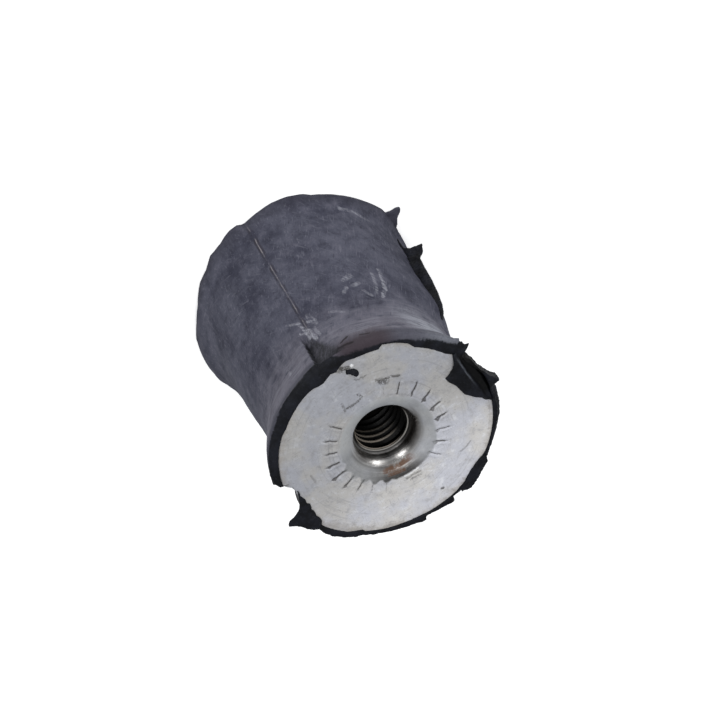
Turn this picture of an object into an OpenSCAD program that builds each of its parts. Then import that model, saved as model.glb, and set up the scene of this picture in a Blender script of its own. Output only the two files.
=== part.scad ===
// Anti-vibration mount: a waisted rubber buffer bonded to a steel plate at each end,
// with a threaded bush staked into each plate. It stands on its bottom plate, and the
// axis is Z. The rubber keeps the torn moulding flash of a part that was never trimmed.

/* [Rubber] */
// Height of the mount from end face to end face
mount_h = 45; // [42:1:60]
// Diameter of the rubber round the top plate
top_rim_d = 39.4; // [36:0.2:48]
// Diameter of the rubber round the bottom plate
bottom_rim_d = 40; // [38:0.2:48]
// Diameter of the flank just above the bottom rim
shoulder_d = 37.8; // [34:0.2:42]
// Diameter of the neck, the narrowest place
neck_d = 33.8; // [26:0.2:36]
// Height of the shoulder above the bottom face
shoulder_z = 5.4; // [4:0.2:9]
// Distance of the neck below the top face
neck_drop = 11.3; // [8:0.1:16]

/* [Plates] */
// Width of the rubber lip round the plate that has the smaller rim
lip_w = 1.7; // [1.2:0.1:3]
// Thickness of each steel end plate
plate_t = 2.5; // [2:0.1:4]

/* [Threaded bushes] */
// Nominal diameter of the thread
thread_d = 10; // [8:0.5:12]
// Pitch of the thread
thread_pitch = 1.5; // [1:0.25:1.75]
// Rounding of the trumpet mouth that leads into the thread
mouth_round = 3; // [2:0.1:4]
// Depth of the blind bore below the end face
bore_depth = 12; // [9:0.5:15]
// Steel left below the blind bore
bush_floor = 2; // [1.5:0.1:3]
// Wall of the bush round the thread
bush_wall = 2.5; // [2:0.1:4]
// Width of the collar round the mouth
collar_w = 3.5; // [3:0.1:4.5]
// Thickness of the collar let into the plate
collar_t = 1.2; // [0.8:0.1:1.8]
// Number of radial staking marks on the collar
stake_count = 24; // [12:1:30]
// Width of a staking mark
stake_w = 0.4; // [0.2:0.05:0.6]
// Depth of a staking mark
stake_depth = 0.2; // [0.1:0.05:0.4]
// Plain collar left inside and outside the staking marks
stake_margin = 0.4; // [0.2:0.1:0.8]

/* [Flash] */
// Thickness of the torn flash
flash_t = 0.5; // [0.3:0.1:1]
// Depth to which the flash is one with the rim
flash_root = 0.8; // [0.5:0.1:1.5]
// Turn of the first mould parting line
parting_turn = 128; // [0:1:180]
// Number of parts in the mould
mould_parts = 4; // [2:1:4]
// Width of the line that a mould joint leaves
seam_w = 0.5; // [0.3:0.1:1]
// Height of the line that a mould joint leaves
seam_h = 0.3; // [0.1:0.05:0.6]
// Reach of the tall end of the flash fin from the flank
fin_reach = 3; // [1:0.1:4]
// Height of the low end of the flash fin above the bottom face
fin_z = 6.5; // [6:0.5:10]
// Length of the flash fin
fin_l = 23; // [12:0.5:25]
// Depth of the tears along the top edge of the rubber
tear_depth = 1.2; // [0.6:0.1:2]
// Height of the stretches where the whole flare under the top edge is torn off
flare_tear_h = 6; // [4:0.5:9]
// Rubber left round the plate where the flare is torn off
tear_skin = 0.4; // [0.3:0.1:0.8]

/* [Hidden] */
$fn = 96;

top_rim_r = top_rim_d / 2;
bottom_rim_r = bottom_rim_d / 2;
plate_r = min(top_rim_r, bottom_rim_r) - lip_w;
shoulder_r = shoulder_d / 2;
neck_r = neck_d / 2;
neck_z = mount_h - neck_drop;
thread_r = thread_d / 2;
bore_r = (thread_d - thread_pitch) / 2;
lead_in = thread_r - bore_r;
mouth_r = thread_r + mouth_round;
bush_r = thread_r + bush_wall;
collar_r = mouth_r + collar_w;
bush_l = bore_depth + bush_floor;
arc_step = 10;
profile_step = 1.5;
seam_root = 1;
root_clear = 0.1;
cut = 1;

// Torn flaps of flash: turn from the first parting line and distance outside the plate's edge
folded_flap = [
    [-69, -0.3], [-76, -3.1], [-77, -4.4], [-89, -4], [-98, -4.1], [-104, -2.3], [-108, -0.2],
    [-110, 0.6], [-102, 0.8], [-101, 2.2], [-92, 1.2], [-89, 0.8], [-80, 1], [-74, 0.4]
];
fishtail_flap = [
    [83, -1.3], [89, -0.9], [95, 2.7], [97, 3.3], [107, 1.6], [108, -0.6], [97, -1.1]
];
thick_flap = [
    [-145, 0.3], [-149, 1.2], [-156, 0.8], [-164, 1.4], [-169, 0.4], [-163, -0.5], [-151, -0.6]
];
ragged_flap = [
    [-13, 0.2], [-10, -0.6], [-4, -1.2], [3, -0.7], [9, -1.4], [17, -0.2],
    [17, 1], [10, 1.2], [2, 1.2], [-6, 1.2], [-13, 1]
];
top_flaps = [folded_flap, fishtail_flap, thick_flap, ragged_flap];

// A spike of flash on the bottom rim: turn from the first parting line and distance outside that rim
rim_spike = [[-90, -0.8], [-87, 0.4], [-83, 2.3], [-80, 1.6], [-76, 0.3], [-72, -0.8]];

// Stretches where the top edge, or the whole flare under it, is torn off, as a turn from the first
// parting line and a sweep
torn_edges = [[136, 56], [215, 38]];
torn_flares = [[76, 27], [256, 28]];

// The fin's outline: share of its length, and share of its full reach from the flank
fin_outline = [[0, 0.3], [0.04, 0.4], [0.07, 1], [0.14, 0.9], [0.2, 0.55], [0.5, 0.5], [0.8, 0.3], [1, 0]];

// A smooth rise from 0 to 1
function ease(t) = (1 - cos(180 * t)) / 2;

// Radius of the rubber at a height: bottom rim, shoulder, neck and top rim in one smooth line
function rubber_r(z) =
    z < shoulder_z
    ? bottom_rim_r + (shoulder_r - bottom_rim_r) * ease(z / shoulder_z)
    : z < neck_z
    ? shoulder_r + (neck_r - shoulder_r) * ease((z - shoulder_z) / (neck_z - shoulder_z))
    : neck_r + (top_rim_r - neck_r) * ease((z - neck_z) / neck_drop);

// Heights along a stretch, close enough together to follow its curve
function heights(from, to) =
    let (steps = ceil((to - from) / profile_step))
    [for (i = [0 : steps - 1]) from + (to - from) * i / steps];

profile_z = concat(
    heights(0, shoulder_z), heights(shoulder_z, neck_z), heights(neck_z, mount_h), [mount_h]
);

// A flap's corners, from its turns and its distances outside an edge
function flap_points(flap, edge_r) =
    [for (p = flap) [(edge_r + p[1]) * cos(p[0]), (edge_r + p[1]) * sin(p[0])]];

// A flat sheet that stands in a radial plane, drawn as radius and height
module radial_sheet(points, thickness) {
    rotate([90, 0, 0])
        linear_extrude(height = thickness, center = true)
            polygon(points);
}

// The place that a plate and its bush take up, face at z = 0 and bush downwards
module insert_space() {
    translate([0, 0, -plate_t]) cylinder(r = plate_r, h = plate_t + cut);
    translate([0, 0, -bush_l]) cylinder(r = bush_r, h = bush_l);
}

// The solid of revolution that the mould makes
module waisted_block() {
    rotate_extrude()
        polygon(concat([[0, 0]], [for (z = profile_z) [rubber_r(z), z]], [[0, mount_h]]));
}

// The line that one mould joint leaves up the flank
module seam_line() {
    outer = [for (z = profile_z) [rubber_r(z) + seam_h, z]];
    inner = [for (i = [len(profile_z) - 1 : -1 : 0]) [rubber_r(profile_z[i]) - seam_root, profile_z[i]]];
    radial_sheet(concat(outer, inner), seam_w);
}

// The torn fin of flash that stands off one mould joint
module flash_fin() {
    outer = [
        for (p = fin_outline)
            let (z = fin_z + p[0] * fin_l)
            [rubber_r(z) + p[1] * fin_reach, z]
    ];
    inner = [
        for (i = [len(fin_outline) - 1 : -1 : 0])
            let (z = fin_z + fin_outline[i][0] * fin_l)
            [rubber_r(z) - seam_root, z]
    ];
    radial_sheet(concat(outer, inner), flash_t);
}

// A torn flap that lies over the edge of the top plate and is one with the rim outside it
module torn_flap(flap) {
    outline = flap_points(flap, plate_r);
    translate([0, 0, mount_h])
        linear_extrude(height = flash_t) polygon(outline);
    translate([0, 0, mount_h - flash_root])
        linear_extrude(height = flash_root + flash_t)
            difference() {
                polygon(outline);
                circle(r = plate_r + root_clear);
            }
}

// What has torn away from the top edge of the rubber along one stretch
module torn_edge(start, sweep) {
    rotate([0, 0, start])
        rotate_extrude(angle = sweep)
            polygon([
                [top_rim_r - tear_depth, mount_h + cut],
                [top_rim_r + cut, mount_h + cut],
                [top_rim_r + cut, mount_h - tear_depth],
                [top_rim_r, mount_h - tear_depth],
                [top_rim_r - tear_depth, mount_h - tear_depth / 4]
            ]);
}

// What has torn away from the flare under the top edge along one stretch
module torn_flare(start, sweep) {
    rotate([0, 0, start])
        rotate_extrude(angle = sweep)
            translate([plate_r + tear_skin, mount_h - flare_tear_h])
                square([top_rim_r - plate_r + cut, flare_tear_h + cut]);
}

// The moulded block with its seam lines, fin and spike, less what has torn off it
module moulded_block() {
    difference() {
        union() {
            waisted_block();
            for (i = [0 : mould_parts - 1])
                rotate([0, 0, i * 360 / mould_parts]) seam_line();
            rotate([0, 0, -360 / mould_parts]) flash_fin();
            linear_extrude(height = flash_t) polygon(flap_points(rim_spike, bottom_rim_r));
        }
        for (edge = torn_edges) torn_edge(edge[0], edge[1]);
        for (flare = torn_flares) torn_flare(flare[0], flare[1]);
    }
}

// Rubber moulded round both plates and bushes, with its seams and torn flash
module rubber_body() {
    color("dimgray") {
        difference() {
            rotate([0, 0, parting_turn]) moulded_block();
            translate([0, 0, mount_h]) insert_space();
            mirror([0, 0, 1]) insert_space();
        }
        rotate([0, 0, parting_turn])
            for (flap = top_flaps) torn_flap(flap);
    }
}

// Steel end plate with its face at z = 0, counterbored for the collar of the bush
module end_plate() {
    color("gainsboro")
        difference() {
            translate([0, 0, -plate_t]) cylinder(r = plate_r, h = plate_t);
            translate([0, 0, -plate_t - cut]) cylinder(r = bush_r, h = plate_t + 2 * cut);
            translate([0, 0, -collar_t]) cylinder(r = collar_r, h = collar_t + cut);
        }
}

// One V-shaped staking mark across the collar
module stake_mark() {
    translate([mouth_r + stake_margin, 0, 0])
        rotate([90, 0, 90])
            linear_extrude(height = collar_w - 2 * stake_margin)
                polygon([[-stake_w, stake_depth], [stake_w, stake_depth], [0, -stake_depth]]);
}

// Steel bush with its face at z = 0: collar, trumpet mouth and a blind tapped bore
module threaded_bush() {
    mouth = [
        for (a = [0 : arc_step : 90])
            [mouth_r - mouth_round * sin(a), mouth_round * (cos(a) - 1)]
    ];
    color("silver")
        difference() {
            rotate_extrude()
                polygon(concat(
                    [[0, -bush_l], [bush_r, -bush_l], [bush_r, -collar_t]],
                    [[collar_r, -collar_t], [collar_r, 0]],
                    mouth,
                    [[bore_r, -mouth_round - lead_in], [bore_r, -bore_depth], [0, -bore_depth]]
                ));
            for (i = [0 : stake_count - 1])
                rotate([0, 0, i * 360 / stake_count]) stake_mark();
        }
}

module top_plate() {
    translate([0, 0, mount_h]) end_plate();
}

module top_bush() {
    translate([0, 0, mount_h]) threaded_bush();
}

module bottom_plate() {
    rotate([180, 0, 0]) end_plate();
}

module bottom_bush() {
    rotate([180, 0, 0]) threaded_bush();
}

rubber_body();
top_plate();
top_bush();
bottom_plate();
bottom_bush();
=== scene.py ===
import math
import bpy
from mathutils import Matrix, Vector, noise


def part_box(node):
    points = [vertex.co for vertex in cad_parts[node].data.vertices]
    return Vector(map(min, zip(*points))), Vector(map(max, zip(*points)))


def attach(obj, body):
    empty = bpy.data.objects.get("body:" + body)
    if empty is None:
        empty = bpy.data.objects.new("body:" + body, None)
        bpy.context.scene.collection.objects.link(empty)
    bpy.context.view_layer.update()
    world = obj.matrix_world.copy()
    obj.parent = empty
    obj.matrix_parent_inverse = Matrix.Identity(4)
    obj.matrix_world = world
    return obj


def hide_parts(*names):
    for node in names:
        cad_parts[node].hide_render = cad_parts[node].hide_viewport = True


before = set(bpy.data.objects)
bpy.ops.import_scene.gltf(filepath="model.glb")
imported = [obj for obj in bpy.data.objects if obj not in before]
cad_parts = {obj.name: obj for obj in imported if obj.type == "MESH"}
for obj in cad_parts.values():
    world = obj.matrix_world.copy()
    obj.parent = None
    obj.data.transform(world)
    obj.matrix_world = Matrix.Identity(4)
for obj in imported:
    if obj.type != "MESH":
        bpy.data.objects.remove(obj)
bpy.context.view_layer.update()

# The rubber: one moulding of black rubber, vulcanised round both steel plates and their bushes.
# Handling and storage have left its flank dusty purple-grey, with scuffs and a mould joint line.
# Where the moulding flash was torn off, the lip round the top plate shows fresh black rubber.
MM = 0.001
mount_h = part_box("top_plate")[1].z / MM
plate_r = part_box("top_plate")[1].x / MM
plate_t = mount_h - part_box("top_plate")[0].z / MM
bush_l = mount_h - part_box("top_bush")[0].z / MM
bush_r = 7.5
top_rim_r = 19.7
bottom_rim_r = 20.0
shoulder_r = 18.9
neck_r = 16.9
shoulder_z = 5.4
neck_z = mount_h - 11.3
joint_turn = 128
joint_count = 4
round_steps = 720


def ease(t):
    """A smooth rise from 0 to 1."""
    t = min(max(t, 0.0), 1.0)
    return (1 - math.cos(math.pi * t)) / 2


def flank_r(z):
    """Radius of the moulded flank at a height."""
    if z < shoulder_z:
        return bottom_rim_r + (shoulder_r - bottom_rim_r) * ease(z / shoulder_z)
    if z < neck_z:
        return shoulder_r + (neck_r - shoulder_r) * ease((z - shoulder_z) / (neck_z - shoulder_z))
    return neck_r + (top_rim_r - neck_r) * ease((z - neck_z) / (mount_h - neck_z))


def lathe(name, profile, steps):
    """Draws a profile of (radius, height) by extruding one vertex, and spins it round Z."""
    bpy.ops.object.select_all(action="DESELECT")
    bpy.ops.mesh.primitive_plane_add(size=1)
    piece = bpy.context.active_object
    piece.name = name
    bpy.ops.object.mode_set(mode="EDIT")
    bpy.ops.mesh.select_all(action="SELECT")
    bpy.ops.mesh.merge(type="CENTER")
    bpy.ops.transform.translate(value=(profile[0][0], 0, profile[0][1]))
    for here, there in zip(profile, profile[1:]):
        step = (there[0] - here[0], 0, there[1] - here[1])
        bpy.ops.mesh.extrude_region_move(TRANSFORM_OT_translate={"value": step})
    bpy.ops.mesh.select_all(action="SELECT")
    bpy.ops.mesh.spin(steps=steps, angle=2 * math.pi, center=(0, 0, 0), axis=(0, 0, 1))
    bpy.ops.mesh.select_all(action="SELECT")
    bpy.ops.mesh.remove_doubles(threshold=1e-4)
    bpy.ops.mesh.normals_make_consistent(inside=False)
    bpy.ops.object.mode_set(mode="OBJECT")
    return piece


def into_place(piece, place=Matrix.Identity(4)):
    """Brings a piece modelled in millimetres to its place in metres, on the one body."""
    piece.data.transform(Matrix.Scale(MM, 4) @ place)
    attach(piece, "root")


flank_step = 0.48
lip_h = 0.6
lip_top = mount_h - lip_h
flank_count = int(lip_top / flank_step)
flank = [
    (flank_r(lip_top * i / flank_count), lip_top * i / flank_count)
    for i in range(1, flank_count + 1)
]
# The lip's section: share of its width outside the plate's edge, and height over the plate's face
lip_w = top_rim_r - plate_r
lip_section = [(1, -0.4), (0.97, -0.15), (0.85, 0.02), (0.6, 0.09), (0.3, 0.12), (0.06, 0.09), (0, 0.02)]
seat_break = 0.1
rim_break = 0.4
rubber_profile = [
    (0, bush_l), (bush_r, bush_l), (bush_r, plate_t), (plate_r, plate_t), (plate_r, seat_break),
    (plate_r + seat_break, 0), (bottom_rim_r - rim_break, 0), (bottom_rim_r - seat_break, seat_break),
    *flank,
    *[(plate_r + share * lip_w, mount_h + rise) for share, rise in lip_section],
    (plate_r, mount_h - plate_t), (bush_r, mount_h - plate_t),
    (bush_r, mount_h - bush_l), (0, mount_h - bush_l),
]
rubber = lathe("rubber_moulding", rubber_profile, round_steps)

# Where the lip starts and ends, as distances outside the plate's edge, by turn in degrees
lip_inner = [
    (0, 0), (18, 0), (24, -0.6), (52, -0.6), (58, -0.5), (62, -0.85), (81, -0.85), (85, -0.25), (92, 0.1),
    (99, 0.2), (101, -0.5), (111, -0.6), (115, -0.5), (119, -0.25), (123, -0.6), (126, -1.1), (129, -0.8),
    (135, -1.3), (138, -1.1), (141, -0.65), (147, -0.4), (168, -0.3), (172, 0), (200, 0.3), (203, 0.3),
    (204, -1.4), (216, -1.4), (232, -1.2), (237, -0.2), (239, 0.6), (255, 0.55), (259, 0.1), (262, -0.2),
    (264, 0.25), (278, 0.1), (286, -0.1), (295, -0.25), (300, 0), (309, -0.15), (315, 0), (321, -0.3),
    (343, -0.3), (346, 0), (360, 0),
]
lip_outer = [
    (0, 0.65), (6, 0.85), (15, 0.85), (21, 0.65), (24, -0.3), (52.5, -0.3), (53.2, 0.7), (53.7, 2.6),
    (55.5, 1.75), (57.5, 2.1), (59, 1.9), (60, 2.3), (63, 1.85), (70, 1.7), (112, 1.6), (128, 1.75),
    (145, 1.85), (175, 1.95), (186, 1.8), (198, 1.7), (201, 1.35), (203, 0.9), (204, -1.3), (232, -1.1),
    (237, 0.2), (239, 1.4), (243, 1.85), (249, 1.95), (255, 1.75), (260, 1.5), (262, 1.2), (264, 1.05),
    (276, 1.0), (288, 1.1), (295, 1.4), (296.5, 1.55), (297.2, 0.7), (301, 0.6), (306, 0.95), (310, 1.15),
    (312, 1.45), (313.3, 1.4), (314, 0.3), (318, 0.5), (321, 0.9), (342, 0.7), (346, 0.5), (360, 0.65),
]
# How far out from the plate's edge the lip is fresh black rubber, before the dust starts
black_reach = [
    (0, 3), (53, 3), (58, 1.7), (66, 0.7), (80, 0.35), (104, 0.3), (118, 0.6), (124, 1.6), (132, 2.2),
    (150, 1.9), (165, 1.5), (196, 1.6), (200, 3), (360, 3),
]
# The bottom rim's bumps and flats, as it stands out past its true circle
rim_bumps = [
    (0, 0), (12, 0), (24, -0.5), (36, -0.4), (44, 0), (52, 0.3), (60, 0.15), (78, -0.1), (92, -0.1),
    (96, 0.3), (104, 0.5), (112, 0.35), (120, -0.1), (128, -0.45), (130, -0.3), (132, 0.25), (136, 0.4),
    (140, 0.25), (144, -0.05), (149, 0), (152, 0.15), (156, -0.2), (160, -0.5), (168, -0.3), (180, -0.7),
    (190, -0.35), (200, 0.45), (212, 0.5), (225, 0), (360, 0),
]
# Swellings and hollows of the flank: turn, height, half-width in degrees, half-height and size
lumps = [
    (36, 13, 20, 5, -0.5), (36, 25, 20, 6.5, 0.95), (34, 5, 24, 5, -0.5), (210, 4.5, 28, 4.5, 1.6),
    (213, 14, 30, 6, -0.5), (60, 40, 18, 3.5, -0.8), (192, 37, 16, 4, 0.25), (100, 8, 25, 6, 0.15),
    (150, 20, 22, 9, 0.2), (300, 20, 40, 10, 0.3),
]
# How deep inside the plate's edge the flare under the lip has torn away, by turn. Below 0 it is whole.
tear_depth = [
    (0, -4), (19, -4), (24, 0.6), (38, 0.8), (51, 0.7), (56, -4), (199, -4), (204, 0.9), (209, 1.4),
    (215, 2.1), (228, 2.1), (235, 0.9), (241, -4), (360, -4),
]
tear_slope = 0.15


def between(table, turn):
    """Reads a table of (turn, value) at a turn, straight between its rows."""
    for (a, low), (b, high) in zip(table, table[1:]):
        if a <= turn <= b:
            return low + (high - low) * (turn - a) / (b - a)
    return table[-1][1]


def turn_from(turn, line):
    """Signed degrees from a line to a turn, within half a circle."""
    return (turn - line + 180) % 360 - 180


def turn_of(co):
    """A point's turn round the axis, from 0 to 360 degrees."""
    return math.degrees(math.atan2(co.y, co.x)) % 360


# The pleat beside the joint line: its foot and length, and its cliff's turn at a height, with the lean.
# Past the cliff the flank stands out by a step. Before it the flank dips, wider towards the lip. The dip and
# the cliff are painted dark as shade, through the torn mask.
crease_foot = 30.3
crease_l = 14.7
cliff_turn = 134.8
cliff_z = 31
cliff_lean = 0.25
step_out = 0.4
step_w = 14
dip_in = 0.95
dip_foot_w = 4
dip_spread = 17


def crease(turn, z):
    """The torn pleat beside the joint line: how far the flank stands out, and how much painted shade darkens
    it.
    """
    along = (z - crease_foot) / crease_l
    if along <= 0:
        return 0, 0
    off = turn_from(turn, cliff_turn - cliff_lean * (z - cliff_z))
    height = ease(along * 2.6)
    if off >= 0:
        # Painted shade also darkens the step just past the cliff.
        return step_out * height * ease(1 - off / step_w), 0.25 * height * ease(1 - off / 1.2)
    across = -off / (dip_foot_w + dip_spread * along)
    if across >= 1:
        return 0, 0
    # Painted shade darkens the dip, most at the cliff's foot.
    crease_shade = height * max(ease(1 + off / 2.5), 0.62 * ease((1 - across) * 2.2))
    return -dip_in * height * (1 - across) * ease(-off / 0.6), crease_shade


# How ragged the lip's two edges are, how thin it may get, and how far a thin stretch of it sinks
rag_inner = 0.16
rag_outer = 0.2
lip_least = 0.06
lip_thin = 0.4
lip_sink = 0.45
flare_slope = 0.6
rim_bump_h = 2.5
# The ridge of a mould joint line, and the height at which it starts to fade below the lip
joint_ridge_h = 0.15
joint_ridge_w = 0.13
joint_end = 33
joint_fade = 4
# Two levels or radii that are closer than this count as the same
near = 0.01


def shape_rubber(co):
    """Moves a point of the plain moulding to where the real one has swollen, creased or torn."""
    x, y, z = co
    r = math.hypot(x, y)
    turn = turn_of(co)
    angle = math.radians(turn)
    inside_seat = z <= plate_t + near or z >= mount_h - plate_t - near
    if r < bush_r + seat_break or (inside_seat and r < plate_r + near and z < mount_h - seat_break):
        if z > mount_h / 2:
            r = min(r, plate_r - between(tear_depth, turn))
        return Vector((r * math.cos(angle), r * math.sin(angle), z)), 0.0
    coarse_rag = noise.noise(Vector((x * 1.3, y * 1.3, 3)))
    fine_rag = noise.noise(Vector((x * 4, y * 4, 9)))
    rag = coarse_rag * 0.6 + fine_rag * 0.4
    torn = 0.0
    if z > lip_top + near:
        share = (r - plate_r) / lip_w
        inner = between(lip_inner, turn) + rag * rag_inner
        outer = max(between(lip_outer, turn) + rag * rag_outer, inner + lip_least)
        r = plate_r + inner + (outer - inner) * share
        z += rag * 0.08 - lip_sink * ease((lip_thin - outer + inner) / 0.35)
        torn = 1 - ease((r - plate_r - between(black_reach, turn)) / 0.5)
    elif z > seat_break / 2:
        swell = ease(z / 2) * ease((mount_h - z) / 3)
        for lump_turn, lump_z, half_turn, half_z, size in lumps:
            a = turn_from(turn, lump_turn) / half_turn
            b = (z - lump_z) / half_z
            r += size * math.exp(-(a * a + b * b) * 1.5) * swell
        r += noise.noise(co * 0.16) * 0.12 + noise.noise(co * 0.9) * 0.03
        r += between(rim_bumps, turn) * ease(1 - z / rim_bump_h)
        # The pleat's painted shade goes into the torn mask, so it shows black like torn rubber.
        out, torn = crease(turn, z)
        r += out
        for line in range(joint_count):
            off = math.radians(turn_from(turn, joint_turn + 360 / joint_count * line)) * r
            ridge = joint_ridge_h * math.exp(-((off / joint_ridge_w) ** 2))
            r += ridge * ease(z / 2) * (1 - ease((z - joint_end) / joint_fade))
        drop = mount_h - z
        limit = plate_r + between(lip_outer, turn) + rag * rag_outer + flare_slope * drop
        depth = between(tear_depth, turn) + noise.noise(co * 0.45) * 0.9 * ease((drop - 1.5) / 3)
        limit = min(limit, plate_r - depth + tear_slope * drop + rag * 0.15)
        if r > limit:
            torn = max(torn, ease((r - limit) / 0.2))
            r = limit
        black_depth = 0.25 + 0.35 * between(black_reach, turn)
        torn = max(torn, ease((black_depth + rag * 0.3 - drop) / 0.5))
    else:
        r += between(rim_bumps, turn) * ease((r - plate_r) / (bottom_rim_r - plate_r))
    return Vector((r * math.cos(angle), r * math.sin(angle), z)), torn


# The torn mask holds torn, fresh black rubber, and also the pleat's painted shade.
torn_and_shade_mask = rubber.data.attributes.new("torn", "FLOAT", "POINT")
for vertex in rubber.data.vertices:
    vertex.co, torn_and_shade_mask.data[vertex.index].value = shape_rubber(vertex.co.copy())
bpy.ops.object.shade_smooth_by_angle(angle=math.radians(55))


class Wire:
    """A socket of a finish's nodes. Arithmetic on it adds Math nodes."""

    def __init__(self, socket):
        self.socket = socket

    def maths(self, operation, first, second):
        tree = self.socket.id_data
        made = tree.nodes.new("ShaderNodeMath")
        made.operation = operation
        for entry, value in zip(made.inputs, (first, second)):
            if isinstance(value, Wire):
                tree.links.new(value.socket, entry)
            else:
                entry.default_value = value
        return Wire(made.outputs[0])

    def __add__(self, other):
        return self.maths("ADD", self, other)

    def __radd__(self, other):
        return self.maths("ADD", other, self)

    def __sub__(self, other):
        return self.maths("SUBTRACT", self, other)

    def __rsub__(self, other):
        return self.maths("SUBTRACT", other, self)

    def __mul__(self, other):
        return self.maths("MULTIPLY", self, other)

    def __rmul__(self, other):
        return self.maths("MULTIPLY", other, self)

    def __truediv__(self, other):
        return self.maths("DIVIDE", self, other)

    def __rtruediv__(self, other):
        return self.maths("DIVIDE", other, self)


class Finish:
    """A procedural surface finish: one material, its Principled shader and the nodes that feed it."""

    def __init__(self, name):
        self.material = bpy.data.materials.new(name)
        self.material.use_nodes = True
        self.tree = self.material.node_tree
        self.shader = self.tree.nodes["Principled BSDF"]
        place = self.node("TexCoord", {}, {}, "Object")
        self.place = self.node("VectorMath", {"operation": "SCALE"}, {0: place, "Scale": 1 / MM})
        self.x = self.node("SeparateXYZ", {}, {0: self.place}, "X")
        self.y = self.node("SeparateXYZ", {}, {0: self.place}, "Y")
        self.z = self.node("SeparateXYZ", {}, {0: self.place}, "Z")
        self.r = self.node("Math", {"operation": "SQRT"}, {0: self.x * self.x + self.y * self.y})
        # The turn in degrees, within half a circle of facing, so that its break lies at the back
        facing = 120
        ahead = self.y * math.sin(math.radians(facing)) + self.x * math.cos(math.radians(facing))
        aside = self.y * math.cos(math.radians(facing)) - self.x * math.sin(math.radians(facing))
        radians = self.node("Math", {"operation": "ARCTAN2"}, {0: aside, 1: ahead})
        self.turn = radians * (180 / math.pi) + facing

    def node(self, kind, settings, inputs, output=0):
        """Adds a node: its settings first, then the values or links of its inputs."""
        made = self.tree.nodes.new("ShaderNode" + kind)
        for key, value in settings.items():
            setattr(made, key, value)
        for key, value in inputs.items():
            self.feed(made.inputs[key], value)
        return Wire(made.outputs[output])

    def feed(self, entry, value):
        """Links a wire to an input, or sets its value."""
        if isinstance(value, Wire):
            self.tree.links.new(value.socket, entry)
        elif entry.type == "RGBA":
            entry.default_value = (*value, 1)
        else:
            entry.default_value = value

    def set(self, **inputs):
        """Feeds inputs of the shader, with _ for each space of their names."""
        for key, value in inputs.items():
            self.feed(self.shader.inputs[key.replace("_", " ")], value)

    def mask(self, name):
        """A mask that is stored on the piece's points."""
        return self.node("Attribute", {"attribute_name": name}, {}, "Fac")

    def join(self, x, y, z):
        return self.node("CombineXYZ", {}, {0: x, 1: y, 2: z})

    def cloud(self, scale, detail=4.0, rough=0.55, vector=None):
        """Smooth noise from 0 to 1. scale is in patches to a millimetre."""
        inputs = {"Vector": vector or self.place, "Scale": scale, "Detail": detail, "Roughness": rough}
        return self.node("TexNoise", {}, inputs)

    def rise(self, value, low, high):
        """0 below low, 1 above high, smooth between."""
        ends = {0: value, 1: low, 2: high, 3: 0.0, 4: 1.0}
        return self.node("MapRange", {"interpolation_type": "SMOOTHSTEP"}, ends)

    def fall(self, value, low, high):
        """1 below low, 0 above high, smooth between."""
        ends = {0: value, 1: low, 2: high, 3: 1.0, 4: 0.0}
        return self.node("MapRange", {"interpolation_type": "SMOOTHSTEP"}, ends)

    def most(self, first, second):
        """The greater of two values."""
        return self.node("Math", {"operation": "MAXIMUM"}, {0: first, 1: second})

    def size(self, value):
        """A value without its sign."""
        return self.node("Math", {"operation": "ABSOLUTE"}, {0: value})

    def blend(self, share, first, second):
        """A share of the second colour laid over the first."""
        return self.node("Mix", {"data_type": "RGBA"}, {0: share, 6: first, 7: second}, 2)

    def darken(self, share, color, tint):
        """A colour multiplied by a share of a tint."""
        made = {"data_type": "RGBA", "blend_type": "MULTIPLY"}
        return self.node("Mix", made, {0: share, 6: color, 7: tint}, 2)

    def towards(self, turn):
        """1 on the side of a turn in degrees, -1 on the side away from it."""
        angle = math.radians(turn)
        return (self.x * math.cos(angle) + self.y * math.sin(angle)) / self.r

    def stroke(self, u, v, points, width):
        """How strongly a point (u, v) lies on a line through points, with a soft edge."""
        marked = None
        for (u0, v0), (u1, v1) in zip(points, points[1:]):
            du = u1 - u0
            dv = v1 - v0
            from_u = u - u0
            from_v = v - v0
            along = (from_u * du + from_v * dv) / (du * du + dv * dv)
            share = self.node("Math", {"operation": "ADD", "use_clamp": True}, {0: along, 1: 0.0})
            gap_u = from_u - share * du
            gap_v = from_v - share * dv
            on = self.fall(gap_u * gap_u + gap_v * gap_v, 0.1 * width * width, width * width)
            marked = on if marked is None else self.most(marked, on)
        return marked

    def bump(self, height, strength, distance_mm):
        """Roughens the surface by a height from 0 to 1."""
        normal = self.node("Bump", {}, {"Height": height, "Strength": strength, "Distance": distance_mm * MM})
        self.set(Normal=normal)


def srgb(red, green, blue):
    """A colour as seen, 0 to 255 a channel, as linear light."""
    return tuple(((c / 255 + 0.055) / 1.055) ** 2.4 if c > 10 else c / 3294.6 for c in (red, green, blue))


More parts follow.
